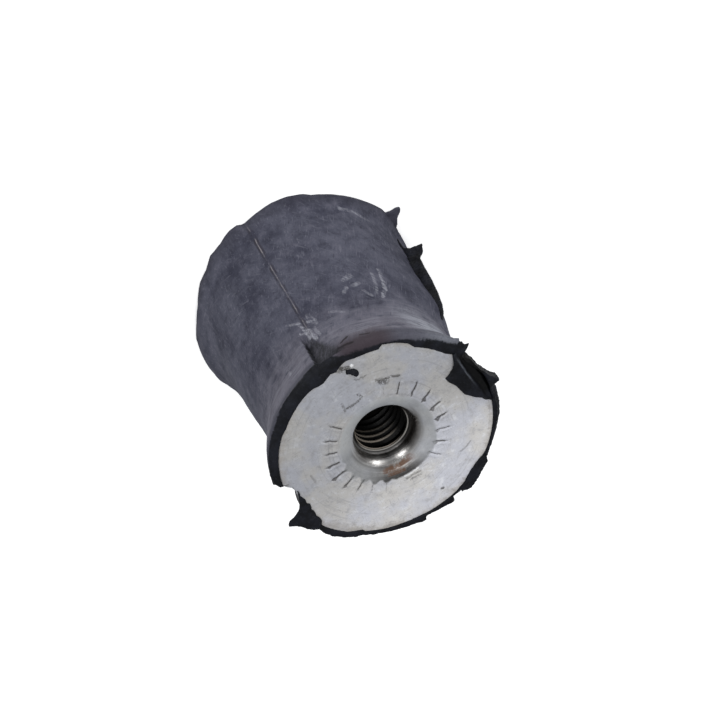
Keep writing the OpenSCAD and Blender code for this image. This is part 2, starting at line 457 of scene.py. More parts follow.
# Scuffs of the flank, as turn in degrees and height, with their half-width, and the pale ones' strength
mm_a_degree = 0.31
pale_scuffs = [
    ([(75.4, 21.5), (75.2, 24), (77, 27), (81, 29.5)], 0.5, 0.55),
    ([(80.5, 23), (81, 26), (83.5, 28.5)], 0.4, 0.3), ([(79.7, 3.9), (72, 4.3), (64.6, 5.3)], 0.55, 0.4),
    ([(97.5, 24), (93, 23.2)], 0.7, 0.4), ([(94, 25.8), (91, 25.5)], 0.6, 0.35),
    ([(101, 27.2), (98.5, 26.2)], 0.5, 0.4), ([(90, 27.5), (87, 29)], 0.4, 0.35),
    ([(131, 29), (129.5, 31), (129.2, 33.5)], 0.45, 0.7), ([(128, 31.5), (126.4, 34.8)], 0.5, 0.65),
    ([(124.5, 28.5), (122.5, 31.5)], 0.5, 0.4), ([(126.5, 30), (122, 30.6)], 0.4, 0.55),
    ([(133, 31.5), (130, 32.2), (127, 31.8)], 0.4, 0.6), ([(124.8, 32.2), (123.6, 34.5)], 0.4, 0.5),
    ([(137, 27.5), (132, 28.8)], 0.35, 0.3), ([(113, 30.5), (106, 32)], 0.35, 0.25),
    ([(150, 36), (146, 39.5)], 0.4, 0.3),
]
dark_scuffs = [
    ([(119, 43.2), (112, 43.8)], 0.35), ([(112, 41.2), (116, 42.2)], 0.3),
    ([(107, 42.5), (103, 43)], 0.25),
]
right_turn = 62
bruise_turn = 108

# The dust's greys, the stains and scuffs on it, painted shade under the lip and at the foot, and the blacks
# of fresh rubber with a painted shadow for hollows
dust_deep = srgb(56, 57, 71)
dust_grey = srgb(86, 87, 100)
dust_pale = srgb(106, 105, 118)
dust_dark = srgb(40, 41, 54)
neck_dust = srgb(120, 117, 127)
ring_dust = srgb(168, 168, 177)
right_dust = srgb(170, 174, 183)
long_dust = srgb(120, 120, 132)
hair_pale = srgb(126, 126, 138)
hair_dark = srgb(40, 40, 50)
lean_pale = srgb(126, 126, 137)
grain_dark = srgb(44, 44, 54)
grain_pale = srgb(124, 124, 136)
lip_shade = srgb(60, 61, 71)
bruise_brown = srgb(56, 45, 49)
foot_shade = srgb(48, 47, 56)
scuff_pale = srgb(186, 187, 196)
scuff_dark = srgb(30, 26, 28)
joint_dark = srgb(42, 39, 46)
joint_pale = srgb(152, 146, 148)
fresh_black = srgb(9, 10, 14)
fresh_grey = srgb(24, 26, 34)
fresh_fleck = srgb(62, 66, 76)
hollow_shadow = srgb(2, 2, 3)
rubbed_grey = srgb(100, 104, 112)


def unroll(points):
    """Brings (turn in degrees, height) to millimetres on the unrolled flank."""
    return [(turn * mm_a_degree, z) for turn, z in points]


def rubber_finish(name, fresh_and_shade):
    """Dusty aged rubber with painted shade under the lip and at the foot. The second argument, from 0 to 1,
    says where it is torn and still black, and where the pleat is painted black as shade.
    """
    finish = Finish(name)
    if fresh_and_shade is None:
        fresh_and_shade = finish.mask("torn")
    mottle = finish.cloud(0.12, 6.0, 0.62)
    patch = finish.cloud(0.45, 5.0, 0.65)
    fine = finish.cloud(3.2, 4.0, 0.65)
    ring = finish.cloud(1.0, 4.0, 0.7, finish.join(finish.x * 0.12, finish.y * 0.12, finish.z * 1.1))
    long = finish.cloud(1.0, 4.0, 0.7, finish.join(finish.x * 1.2, finish.y * 1.2, finish.z * 0.12))
    hair_run = finish.join(finish.x * 2.8 + finish.z * 0.9, finish.y * 2.8, finish.z * 0.3)
    hair = finish.cloud(1.0, 3.0, 0.6, hair_run)
    lean_run = finish.join(finish.x * 2.2 - finish.z * 1.9, finish.y * 0.3, finish.z * 0.35)
    lean = finish.cloud(1.0, 3.0, 0.6, lean_run)
    dust = finish.blend(finish.rise(mottle, 0.3, 0.7), dust_deep, dust_grey)
    dust = finish.blend(finish.rise(patch, 0.46, 0.76) * 0.5, dust, dust_pale)
    dust = finish.blend(finish.fall(patch, 0.26, 0.5) * 0.6, dust, dust_dark)
    neck = finish.rise(finish.z, 26.0, 40.0)
    right = finish.fall(finish.size(finish.turn - right_turn), 6.0, 24.0)
    dust = finish.blend(neck * finish.rise(patch, 0.2, 0.6) * 0.6, dust, neck_dust)
    dust = finish.blend(finish.rise(ring, 0.44, 0.68) * neck * (0.2 + right * 0.3), dust, ring_dust)
    right_rub = right * finish.rise(finish.z, 30.0, 40.0) * finish.rise(ring + patch, 0.6, 1.15)
    dust = finish.blend(right_rub * 0.75, dust, right_dust)
    dust = finish.blend(finish.rise(long, 0.56, 0.76) * 0.3, dust, long_dust)
    dust = finish.blend(finish.rise(hair, 0.58, 0.72) * 0.35, dust, hair_pale)
    dust = finish.blend(finish.fall(hair, 0.28, 0.42) * 0.35, dust, hair_dark)
    dust = finish.blend(finish.rise(lean, 0.58, 0.76) * 0.3, dust, lean_pale)
    dust = finish.blend(finish.rise(fine, 0.54, 0.74) * 0.3, dust, grain_dark)
    dust = finish.blend(finish.fall(fine, 0.28, 0.42) * 0.18, dust, grain_pale)
    # Painted shade: the flank darkens just under the lip.
    lip_shade_share = finish.rise(finish.z + (patch - 0.5) * 0.8, 42.4, 43.8)
    dust = finish.blend(lip_shade_share * 0.65, dust, lip_shade)
    bruise = finish.rise(finish.z + (patch - 0.5) * 5 + (hair - 0.5) * 4, 39.5, 44.0)
    bruise = bruise * finish.fall(finish.size(finish.turn - bruise_turn), 8.0, 20.0)
    dust = finish.blend(bruise * 0.75, dust, bruise_brown)
    # Painted shade: the flank darkens towards the bottom rim.
    foot = finish.fall(finish.z + (patch - 0.5) * 5, 0.0, 5.0)
    dust = finish.blend(foot * 0.5, dust, foot_shade)
    swerve = finish.cloud(0.7, 3.0, 0.6)
    u = finish.turn * mm_a_degree + (swerve - 0.5) * 0.9
    v = finish.z + (patch - 0.5) * 0.9
    for points, width, strength in pale_scuffs:
        rub = finish.stroke(u, v, unroll(points), width)
        rub = rub * finish.rise(fine * 0.4 + long * 0.6 + lean * 0.5, 0.6, 0.92)
        dust = finish.blend(rub * strength, dust, scuff_pale)
    joint = finish.size((finish.turn - joint_turn) * mm_a_degree + (swerve - 0.5) * 0.25)
    on_joint = finish.fall(finish.z, 31.0, 34.0) * finish.rise(finish.z, 1.0, 4.0)
    beside = finish.fall(finish.size(joint - 0.25), 0.08, 0.28) * finish.rise(patch, 0.35, 0.6)
    dust = finish.blend(beside * on_joint * 0.7, dust, joint_dark)
    crown = finish.fall(joint, 0.03, 0.13) * finish.rise(fine * 0.5 + patch * 0.5, 0.36, 0.56)
    crown = crown * on_joint * finish.rise(mottle + patch, 0.75, 1.15)
    dust = finish.blend(crown * 0.7, dust, joint_pale)
    for points, width in dark_scuffs:
        dust = finish.blend(finish.stroke(u, v, unroll(points), width) * 0.8, dust, scuff_dark)
    black = finish.blend(finish.rise(patch, 0.35, 0.7), fresh_black, fresh_grey)
    black = finish.blend(finish.fall(fine, 0.3, 0.42) * 0.25, black, fresh_fleck)
    # Painted shadow: the hollow behind the fold and the flap's wall go blacker still.
    black = finish.blend(finish.mask("hollow_shade"), black, hollow_shadow)
    black = finish.blend(finish.mask("rubbed") * finish.rise(fine, 0.25, 0.55), black, rubbed_grey)
    ragged = finish.rise(fresh_and_shade + (patch - 0.5) * 0.5 + (fine - 0.5) * 0.3 + (hair - 0.5) * 0.8, 0.15, 0.8)
    finish.set(Base_Color=finish.blend(ragged, dust, black))
    finish.set(Roughness=0.8 - ragged * 0.2 + (fine - 0.5) * 0.2)
    finish.set(Specular_IOR_Level=0.16)
    finish.bump(fine * 0.5 + patch + long * 0.4 + ring * 0.3, 0.4, 0.15)
    return finish.material


rubber.data.materials.append(rubber_finish("dusty_rubber", None))
into_place(rubber)
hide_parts("rubber_body")

# The torn flash: thin sheets of the same rubber that ran out between the mould halves.
# They hang folded and torn from the rim round the top plate, and one fin still stands up the flank.
# It is fresh rubber, so it is black, apart from the dusty spike on the bottom rim.
flash_voxel = 0.15


def flash_sheet(name, outline, low, high):
    """A sheet cut to an outline of (x, y), from a low to a high level, with its edges softened."""
    bpy.ops.object.select_all(action="DESELECT")
    bpy.ops.mesh.primitive_circle_add(vertices=len(outline), fill_type="NGON")
    sheet = bpy.context.active_object
    sheet.name = name
    for vertex, (x, y) in zip(sheet.data.vertices, outline):
        vertex.co = (x, y, low)
    bpy.ops.object.mode_set(mode="EDIT")
    bpy.ops.mesh.select_all(action="SELECT")
    bpy.ops.mesh.extrude_region_move(TRANSFORM_OT_translate={"value": (0, 0, high - low)})
    bpy.ops.mesh.select_all(action="SELECT")
    bpy.ops.mesh.normals_make_consistent(inside=False)
    bpy.ops.object.mode_set(mode="OBJECT")
    remesh = sheet.modifiers.new("even skin", "REMESH")
    remesh.mode = "VOXEL"
    remesh.voxel_size = flash_voxel
    bpy.ops.object.modifier_apply(modifier=remesh.name)
    smooth = sheet.modifiers.new("soft edges", "SMOOTH")
    smooth.iterations = 2
    bpy.ops.object.modifier_apply(modifier=smooth.name)
    bpy.ops.object.shade_smooth()
    return sheet


# Vector noise is drawn anew in each run unless its draw is set, and the folds have to stay the same
crumple_draw = 1
noise.seed_set(crumple_draw)


def crumple(co, size):
    """A small uneven shift of a point of torn rubber."""
    return noise.noise_vector(co * 0.7) * size + noise.noise_vector(co * 2.1) * size * 0.5


def from_edge(edge_r, points):
    """Corners (x, y) from (turn in degrees, distance outside a round edge)."""
    return [
        ((edge_r + out) * math.cos(math.radians(turn)), (edge_r + out) * math.sin(math.radians(turn)))
        for turn, out in points
    ]


def lay_on_plate(sheet, lift, rough):
    """Lays a flat sheet over the plate's edge: lift gives its rise from a turn and a distance outside."""
    for vertex in sheet.data.vertices:
        co = vertex.co.copy()
        out = math.hypot(co.x, co.y) - plate_r
        vertex.co = co + crumple(co, rough) + Vector((0, 0, lift(turn_of(co), out)))


def mask_points(piece, name, share):
    """Stores a mask on a piece's points. share gives its value, from 0 to 1, at a place."""
    mask = piece.data.attributes.new(name, "FLOAT", "POINT")
    for vertex in piece.data.vertices:
        mask.data[vertex.index].value = share(vertex.co)


black_rubber = rubber_finish("torn_black_rubber", 1.0)

# The fold's line, as distances outside the plate's edge by turn, with the turns at which it starts and ends
fold_line = [(0, 0), (18, -0.5), (26, -1.3), (35, -1.6), (45, -1.4), (53, -0.85), (59, -0.3), (360, 0)]
fold_start = 18
fold_end = 59
fold_h = 0.8
fold_back_w = 2.2
fold_front_w = 0.4
hang_h = 1.2
folded_flap = flash_sheet("folded_flap", from_edge(plate_r, [
    (58.5, -0.4), (55, -1.7), (52.4, -2.6), (51, -3.7), (51, -4.5), (46, -4.55), (41, -4.2), (36, -4.1),
    (30, -3.85), (27, -3.1), (24, -1.7), (20.5, -1.2), (18.5, -0.2), (18, 0.5), (30, 0.7), (45, 0.7),
    (56, 0.6),
]), mount_h + 0.05, mount_h + 0.4)


def fold(turn, out):
    """The sheet rises to its fold, drops steeply behind it and hangs over the plate's edge."""
    line = between(fold_line, turn)
    full = ease((turn - fold_start) / 8) * ease((fold_end - turn) / 5)
    if out < line:
        return fold_h * full * ease((out - line + fold_back_w) / fold_back_w)
    return fold_h * full * ease(1 - (out - line) / fold_front_w) - hang_h * ease((out + 0.1) / 0.5)


def past_fold(co):
    """How far a point lies outside the fold's line."""
    return math.hypot(co.x, co.y) - plate_r - between(fold_line, turn_of(co))


def inside_fold(co):
    """1 along the fold, falling to 0 just inside its two ends."""
    turn = turn_of(co)
    return ease((turn - fold_start - 4) / 6) * ease((fold_end - 2 - turn) / 4)


def fold_hollow_shade(co):
    """The hollow behind the fold, blackest with painted shadow."""
    return ease((past_fold(co) - 0.1) / 0.3) * inside_fold(co)


def fold_crest(co):
    """The fold's crest, rubbed grey towards larger turns."""
    return ease(1 - abs(past_fold(co)) / 0.15) * ease((turn_of(co) - 32) / 14) * inside_fold(co)


# Painted shadow in the hollow behind the fold.
mask_points(folded_flap, "hollow_shade", fold_hollow_shade)
mask_points(folded_flap, "rubbed", fold_crest)
lay_on_plate(folded_flap, fold, 0.1)

flap_wall = flash_sheet("folded_flap_wall", from_edge(plate_r, [
    (52.5, -0.2), (51.5, 0.25), (49.5, 0.7), (46.5, 0.55), (41, 0.5), (39, 0.4), (39, 0.6), (35, 0.9),
    (31, 1.6), (28.5, 2.3), (27.5, 1.5), (27, 1.0), (25.5, 0.6), (20, 0.6), (16, 0.45), (16, 0.15),
    (22, 0.1), (27, 0.3), (33, 0.4), (38, 0.2), (45, 0.0), (50.5, -0.3),
]), mount_h - 1.7, mount_h + 0.55)
# Painted shadow on the wall past 35 degrees, which stands in the fold's hollow.
mask_points(flap_wall, "hollow_shade", lambda co: ease((turn_of(co) - 35) / 5))
lay_on_plate(flap_wall, lambda turn, out: 0.25 * ease((turn - 24) / 4) * ease((56 - turn) / 8), 0.15)

fishtail_flap = flash_sheet("fishtail_flap", from_edge(plate_r, [
    (209.5, -1.3), (214, -0.95), (216, -0.7), (218.5, -0.3), (221, 0.5), (222.4, 1.7), (223.3, 2.9),
    (225.2, 3.6), (227, 3.0), (229.3, 2.45), (232.5, 2.2), (236, 1.75), (238, 1.2), (237.5, 0.2),
    (236.5, -0.4), (234, -0.7), (232, -0.6), (229, -1.05), (226.5, -1.0), (223, -1.6), (221, -1.3),
    (218.8, -1.6), (214.3, -1.35), (212, -1.5),
]), mount_h - 0.1, mount_h + 0.3)
lay_on_plate(fishtail_flap, lambda turn, out: 0.25 * ease((out + 1) / 1.5) - 0.4 * ease((out - 1) / 2.5), 0.1)

thick_flap = flash_sheet("thick_flap", from_edge(plate_r, [
    (343, 0.5), (340, 1.25), (334, 1.2), (331, 1.35), (327, 1.55), (324, 1.6), (321.5, 1.2), (319.5, 0.5),
    (320, -0.2), (325, -0.3), (328, -0.6), (336, -0.75), (340, -0.6), (343, -0.2),
]), mount_h - 0.8, mount_h + 0.45)
lay_on_plate(thick_flap, lambda turn, out: -0.25 * ease(out / 1.2), 0.12)

fin_turn = joint_turn - 360 / joint_count
fin_outline = [
    (16.2, 30), (17.6, 29), (18.5, 27.3), (19.1, 25), (19.5, 22.2), (19.85, 18.3), (20.0, 14.1),
    (20.2, 11.4), (21.3, 10.1), (21.9, 8.3), (20.7, 8.0), (19.8, 7.7), (18.9, 6.6), (18.8, 4),
    (19.1, 1.5), (19.5, 0.4), (18.5, 0.4), (17.6, 8), (17, 18),
]
flash_fin = flash_sheet("flash_fin", fin_outline, -0.3, 0.3)
for vertex in flash_fin.data.vertices:
    u, v, w = vertex.co
    thin = 1 - 0.55 * ease((u - flank_r(v) - 0.4) / 2)
    shift = crumple(Vector((u, v, 0)), 0.25)
    turn = math.radians(fin_turn) + (w * thin + shift.z) / u
    vertex.co = (u * math.cos(turn), u * math.sin(turn), v)

rim_spike = flash_sheet("rim_spike", from_edge(bottom_rim_r, [
    (38, -0.8), (40, 0.2), (43, 0.9), (44.5, 1.9), (46, 2.5), (47, 2.1), (47.8, 1.1), (49.5, 0.2),
    (51, -0.8),
]), 0.1, 0.8)
for vertex in rim_spike.data.vertices:
    vertex.co += crumple(vertex.co, 0.08)

crumb = flash_sheet("rubber_crumb", from_edge(plate_r, [
    (121.5, -1.7), (119.5, -1.9), (117.5, -2.0), (116.3, -2.3), (115.1, -2.9), (115.4, -3.7),
    (117.9, -3.8), (119.4, -3.2), (120.2, -2.6), (122.5, -2.3),
]), mount_h - 0.05, mount_h + 0.45)
for vertex in crumb.data.vertices:
    vertex.co += crumple(vertex.co, 0.22)

rim_spike.data.materials.append(rubber.data.materials[0])
into_place(rim_spike)
for sheet in (folded_flap, flap_wall, fishtail_flap, thick_flap, flash_fin, crumb):
    sheet.data.materials.append(black_rubber)
    into_place(sheet)

# The end plates: pressed steel discs with a chalky pale coat, bonded into the rubber face to face.
# Each is bored and counterbored for the bush that is staked into its middle.
collar_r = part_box("top_bush")[1].x / MM
collar_t = 1.2
edge_round = 0.25
plate_steps = 360
plate_rows = 10
plate_profile = [
    (bush_r, -plate_t), (bush_r, -collar_t), (collar_r, -collar_t), (collar_r, 0),
    *[(collar_r + (plate_r - edge_round - collar_r) * i / plate_rows, 0) for i in range(1, plate_rows + 1)],
    *[
        (plate_r - edge_round * (1 - math.sin(a)), -edge_round * (1 - math.cos(a)))
        for a in map(math.radians, (30, 60, 90))
    ],
    (plate_r, -plate_t), (bush_r, -plate_t),
]
# How the top plate's edge stands out past its true circle, or is bitten away, by turn in degrees
plate_edge = [
    (0, 0), (90, 0.1), (96, 0.25), (100, 0.2), (104, 0), (186, 0.1), (203, 0.3), (205, -0.1), (207, -0.8),
    (210, -1.1), (214, -1.0), (217, -0.6), (222, 0), (237, 0.2), (240, 0.65), (254, 0.6), (260, 0.2),
    (264, 0.3), (276, 0.2), (284, 0), (360, 0),
]
bite_start = collar_r + 3
bite_full = plate_r - 0.3


def bite(co):
    """Moves a point near the top plate's edge in or out with the edge."""
    r = math.hypot(co.x, co.y)
    rag = noise.noise(Vector((co.x * 3, co.y * 3, 1))) * 0.25
    shift = between(plate_edge, turn_of(co))
    shift += rag * ease(abs(shift) - 0.2)
    moved = r + shift * ease((r - bite_start) / (bite_full - bite_start))
    return Vector((co.x * moved / r, co.y * moved / r, co.z))


# Marks in the coat, as turn in degrees and radius, with their half-width, and the lines' strength.
# The lines' soft edges spread past their half-width.
line_spread = 1.4
coat_lines = [
    ([(106, 11.9), (102.5, 11.7)], 0.22, 0.6), ([(101.5, 11.4), (98, 11.2)], 0.6, 0.75),
    ([(97.5, 11.7), (94, 11.95), (90, 11.8), (86.4, 11.9)], 0.22, 0.75),
    ([(123, 10.8), (122, 10.1), (126, 9.75), (132.7, 9.7), (138, 9.9)], 0.22, 0.7),
    ([(138.5, 11.3), (141.5, 9.8)], 0.2, 0.5), ([(119.3, 13.6), (114.9, 13.55)], 0.2, 0.65),
    ([(113.9, 13.25), (111.3, 13.5)], 0.16, 0.5), ([(313.8, 15.4), (314.3, 15.5)], 0.25, 0.8),
    ([(297.4, 9.35), (304, 9.25), (311.5, 9.55)], 0.2, 0.55),
    ([(299.5, 10.0), (310.4, 10.1)], 0.18, 0.45),
    ([(342.7, 13.7), (347, 14.3), (351.4, 14.7)], 0.14, 0.4), ([(205, 13.6), (212, 13.4)], 0.18, 0.35),
    ([(123.9, 17.5), (122.5, 16.7), (119.5, 16.4)], 0.4, 0.9), ([(126, 16.9), (123.5, 16.2)], 0.2, 0.5),
]
coat_pads = [([(297, 8.65), (304, 8.55), (312, 8.7)], 0.35), ([(116.8, 16.4), (117.2, 16.45)], 0.35)]

# The coat's greys and whites, its dark marks, the stains at the plate's rim and down its side, and painted
# shade towards one side
chalk_cool = srgb(205, 206, 214)
chalk_warm = srgb(214, 211, 208)
chalk_dull = srgb(178, 177, 180)
chalk_white = srgb(236, 237, 241)
drag_grey = srgb(168, 167, 168)
drag_white = srgb(238, 239, 242)
speck_grey = srgb(140, 137, 136)
arc_grey = srgb(156, 156, 160)
scratch_grey = srgb(150, 148, 148)
# Painted shade: the tint, and the turn that the coat darkens towards.
shaded_side_tint = (0.6, 0.605, 0.61)
shaded_side_turn = 135
rim_stain = srgb(150, 143, 134)
mark_dark = srgb(66, 63, 60)
pad_white = srgb(246, 246, 247)
side_stain = srgb(46, 44, 44)


def chalk_color(finish):
    """The pale coat: mottled, a little warm in places, with rubs, specks, scratches and dark marks."""
    broad = finish.cloud(0.16, 4.0, 0.6)
    patch = finish.cloud(0.7, 6.0, 0.68)
    speck = finish.cloud(3.6, 3.0, 0.6)
    drag_run = finish.join(finish.x * 3.2 + finish.y * 1.6, finish.y * 0.5, finish.z)
    drag = finish.cloud(1.0, 4.0, 0.7, drag_run)
    across_run = finish.join(finish.x * 0.5, finish.y * 3.0 - finish.x, finish.z)
    drag_across = finish.cloud(1.0, 4.0, 0.7, across_run)
    chalk = finish.blend(finish.rise(broad, 0.38, 0.62), chalk_cool, chalk_warm)
    chalk = finish.blend(finish.rise(patch, 0.5, 0.72) * 0.75, chalk, chalk_dull)
    chalk = finish.blend(finish.fall(patch, 0.28, 0.46) * 0.7, chalk, chalk_white)
    chalk = finish.blend(finish.rise(drag, 0.55, 0.7) * 0.5, chalk, drag_grey)
    chalk = finish.blend(finish.fall(drag_across, 0.3, 0.44) * 0.5, chalk, drag_white)
    chalk = finish.blend(finish.rise(speck, 0.6, 0.7) * 0.5, chalk, speck_grey)
    arcs = finish.cloud(1.0, 3.0, 0.6, finish.join(finish.r * 2.2, finish.x * 0.08, finish.y * 0.08))
    chalk = finish.blend(finish.rise(arcs, 0.56, 0.7) * 0.35, chalk, arc_grey)
    scratch_run = finish.join(finish.x * 4 - finish.y * 5, finish.x * 0.5, finish.y * 0.4)
    scratch = finish.cloud(1.0, 2.0, 0.5, scratch_run)
    chalk = finish.blend(finish.rise(scratch, 0.64, 0.72) * 0.4, chalk, scratch_grey)
    # Painted shade: the coat darkens towards one side of the plate.
    shaded_side = finish.rise(finish.towards(shaded_side_turn) * finish.r + (broad - 0.5) * 8, -16.0, 6.0)
    chalk = finish.darken(shaded_side, chalk, shaded_side_tint)
    rim = finish.rise(finish.r + (patch - 0.5) * 3.0 + (speck - 0.5) * 1.0, plate_r - 1.3, plate_r + 0.2)
    chalk = finish.blend(rim * 0.5, chalk, rim_stain)
    u = finish.x + (patch - 0.5) * 1.1
    v = finish.y + (speck - 0.5) * 0.8
    on_top = finish.rise(finish.z, mount_h / 2, mount_h)
    for points, width, strength in coat_lines:
        mark = finish.stroke(u, v, from_edge(0, points), width * line_spread)
        mark = mark * on_top * finish.rise(speck + patch, 0.75, 1.0)
        chalk = finish.blend(mark * strength, chalk, mark_dark)
    for points, width in coat_pads:
        pad = finish.stroke(u, v, from_edge(0, points), width) * on_top
        chalk = finish.blend(pad * 0.8, chalk, pad_white)
    return chalk, patch, speck


chalk = Finish("chalky_coat")
chalk_tone, chalk_patch, chalk_speck = chalk_color(chalk)
plate_depth = mount_h / 2 - chalk.size(chalk.z - mount_h / 2)
stained_side = chalk.rise(plate_depth + (chalk_patch - 0.5) * 0.4, 0.15, 0.5)
chalk_tone = chalk.blend(stained_side * 0.9, chalk_tone, side_stain)
chalk.set(Base_Color=chalk_tone, Roughness=0.82, Specular_IOR_Level=0.3)
chalk.bump(chalk_patch + chalk_speck * 0.5, 0.5, 0.15)

upright = Matrix.Translation((0, 0, mount_h))
upside_down = Matrix.Rotation(math.pi, 4, "X")
for name, place in (("top", upright), ("bottom", upside_down)):
    plate = lathe(name + "_plate_disc", plate_profile, plate_steps)
    if name == "top":
        for vertex in plate.data.vertices:
            vertex.co = bite(vertex.co.copy())
    bpy.ops.object.shade_smooth_by_angle(angle=math.radians(40))
    plate.data.materials.append(chalk.material)
    into_place(plate, place)
    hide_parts(name + "_plate")

# The threaded bushes: turned steel, staked into the plates with a ring of radial marks round the collar.
# The trumpet mouth is worn bare and lightly rusted, and leads into a blind M10 thread.
thread_r = 5.0
thread_pitch = 1.5
crest_r = 4.25
mouth_round = 3.0
mouth_r = thread_r + mouth_round
bore_depth = 12.0
bore_cone = 0.6
collar_rows = 28
# The throat's section: radius over the thread's crest, and depth below the mouth
throat_section = [(0.2, 0.45), (0.08, 0.6), (0.12, 0.75)]
throat_l = 1.3
bush_profile = [
    (0, -bush_l), (bush_r, -bush_l), (bush_r, -collar_t), (collar_r, -collar_t), (collar_r, 0),
    *[(collar_r + (mouth_r - collar_r) * i / collar_rows, 0) for i in range(1, collar_rows)],
    *[
        (mouth_r - mouth_round * math.sin(a), mouth_round * (math.cos(a) - 1))
        for a in map(math.radians, range(0, 91, 5))
    ],
    *[(crest_r + over, -mouth_round - depth) for over, depth in throat_section],
    (thread_r, -mouth_round - throat_l), (thread_r, -bore_depth), (0, -bore_depth - bore_cone),
]
# The staking marks: turn in degrees, how hard each is struck, and the width of its foot in millimetres.
# A foot below 0 lies at the inner end, towards smaller turns, and one above 0 at the outer end.
stakes = [
    (5, 0.75, -0.5), (21, 1, -0.7), (36, 1, -0.6), (52.5, 1, -0.6), (68.7, 0.9, -0.3), (85, 0.8, 0),
    (100, 0.4, 0), (161, 0.8, 0.3), (177, 0.8, 0.3), (191.5, 0.85, 0.3), (205.5, 0.95, 0.4),
    (220, 1, 0.5), (233.5, 0.9, 0.4), (247.5, 0.75, 0.3), (260.5, 0.5, 0.2), (275, 0.45, 0.2),
    (287, 0.3, 0), (335, 0.65, -0.5), (350, 0.85, -0.6),
]
stake_inner = mouth_r + 0.2
stake_depth = 0.22
stake_half_w = 0.15
stake_spread = 0.14
stake_reach = 2
foot_half_l = 0.75
foot_spread = 1.4
burr_off = 0.5
burr_w = 0.2


def strike(co, burr):
    """Sinks a point of the collar into its staking mark: its new place, and how much dirt it holds."""
    r = math.hypot(co.x, co.y)
    if abs(co.z) > near or not mouth_r - 0.1 < r < collar_r - near:
        return co, 0.0
    turn = turn_of(co)
    rise = noise.noise(co * 1.1) * 0.04 + noise.noise(co * 3.1) * 0.02
    struck = 0.0
    for mark_turn, force, foot in stakes:
        middle = mark_turn - foot * (r - (mouth_r + collar_r) / 2)
        off = math.radians(turn_from(turn, middle)) * r
        if abs(off) > stake_reach:
            continue
        start = stake_inner + 0.3 * noise.noise(Vector((mark_turn, 7.5, 0)))
        end = collar_r - 0.1 + 0.5 * noise.noise(Vector((mark_turn, 3.5, 0)))
        off += 0.12 * noise.noise(Vector((r * 1.6, mark_turn, 5)))
        along = ease((r - start) / 0.3) * ease((end - r) / 1.3)
        slash = along * max(0, 1 - abs(off) / (stake_half_w + stake_spread * force))
        heel = start + 0.3 if foot < 0 else end - 0.9
        wedge_w = foot_spread * abs(foot) * (1 - abs(r - heel) / foot_half_l)
        aside = off if foot > 0 else -off
        wedge = ease((wedge_w - aside) / 0.15) * ease((aside + 0.1) / 0.1)
        cut = force * max(slash, wedge * 0.6)
        struck = max(struck, cut)
        rise -= stake_depth * cut
        rise += burr * force * along * math.exp(-(((abs(off) - burr_off) / burr_w) ** 2))
    if not burr:
        rise = min(rise, 0)
    return co + Vector((0, 0, rise * ease((r - mouth_r + 0.1) / 0.4) * ease((collar_r - r) / 0.3))), struck


# The thread's ridge: its start below the mouth, the radius of its root, sunk in the bore's wall,
# its half-widths at root and crest, and the length over which its start runs out
thread_start = -mouth_round - 1.5
root_r = thread_r + 0.1
root_half_w = 0.68
crest_half_w = 0.12
run_out = 0.9
thread_steps = 96


def thread_ridge(name):
    """The thread's crest: a ridge drawn once and run round the bore by a screw."""
    turns = int((bore_depth + thread_start) / thread_pitch) + 1
    bpy.ops.object.select_all(action="DESELECT")
    bpy.ops.mesh.primitive_circle_add(vertices=4, fill_type="NOTHING")
    ridge = bpy.context.active_object
    ridge.name = name
    section = [
        (root_r, -root_half_w), (crest_r, -crest_half_w), (crest_r, crest_half_w), (root_r, root_half_w),
    ]
    for vertex, (r, z) in zip(ridge.data.vertices, section):
        vertex.co = (r, 0, z)
    screw = ridge.modifiers.new("thread", "SCREW")
    screw.axis = "Z"
    screw.angle = 2 * math.pi
    screw.screw_offset = -thread_pitch
    screw.iterations = turns
    screw.steps = thread_steps
    screw.render_steps = thread_steps
    bpy.ops.object.modifier_apply(modifier=screw.name)
    bpy.ops.object.mode_set(mode="EDIT")
    bpy.ops.mesh.select_all(action="SELECT")
    bpy.ops.mesh.remove_doubles(threshold=1e-4)
    bpy.ops.mesh.select_all(action="DESELECT")
    bpy.ops.mesh.select_non_manifold()
    bpy.ops.mesh.fill()
    bpy.ops.mesh.select_all(action="SELECT")
    bpy.ops.mesh.normals_make_consistent(inside=False)
    bpy.ops.object.mode_set(mode="OBJECT")
    for vertex in ridge.data.vertices:
        co = vertex.co + Vector((0, 0, thread_start))
        r = math.hypot(co.x, co.y)
        grown = max(r, root_r - run_out * ease((thread_start + run_out - co.z) / run_out))
        vertex.co = (co.x * grown / r, co.y * grown / r, max(co.z, -bore_depth - 0.1))
    bpy.ops.object.shade_smooth_by_angle(angle=math.radians(30))
    return ridge


# The bush's colours: dirt in the marks, the coat in the mouth, bare and dull steel, rust, painted shade at
# the throat and in the bore, painted light on the bore's crests and painted highlights at the throat
stake_dirt = srgb(66, 63, 61)
mouth_coat = srgb(176, 180, 183)
worn_bright = srgb(214, 213, 211)
worn_grey = srgb(160, 157, 155)
dull_pale = srgb(132, 130, 128)
dull_dark = srgb(96, 93, 91)
throat_shade = srgb(58, 54, 52)
turned_edge_highlight = srgb(190, 186, 180)
rust_brown = srgb(98, 72, 56)
bore_shade = srgb(6, 5, 4)
lit_crest = srgb(168, 158, 146)
# The comb of pads between the marks of the lower side: the turn that it starts from, and its spacing
comb_turn = 209
comb_step = 14
rust_streak = [(0.4, -6.7), (2.6, -5.95), (4.8, -4.3)]
rust_trail = [(1.0, -7.4), (3.6, -6.6)]


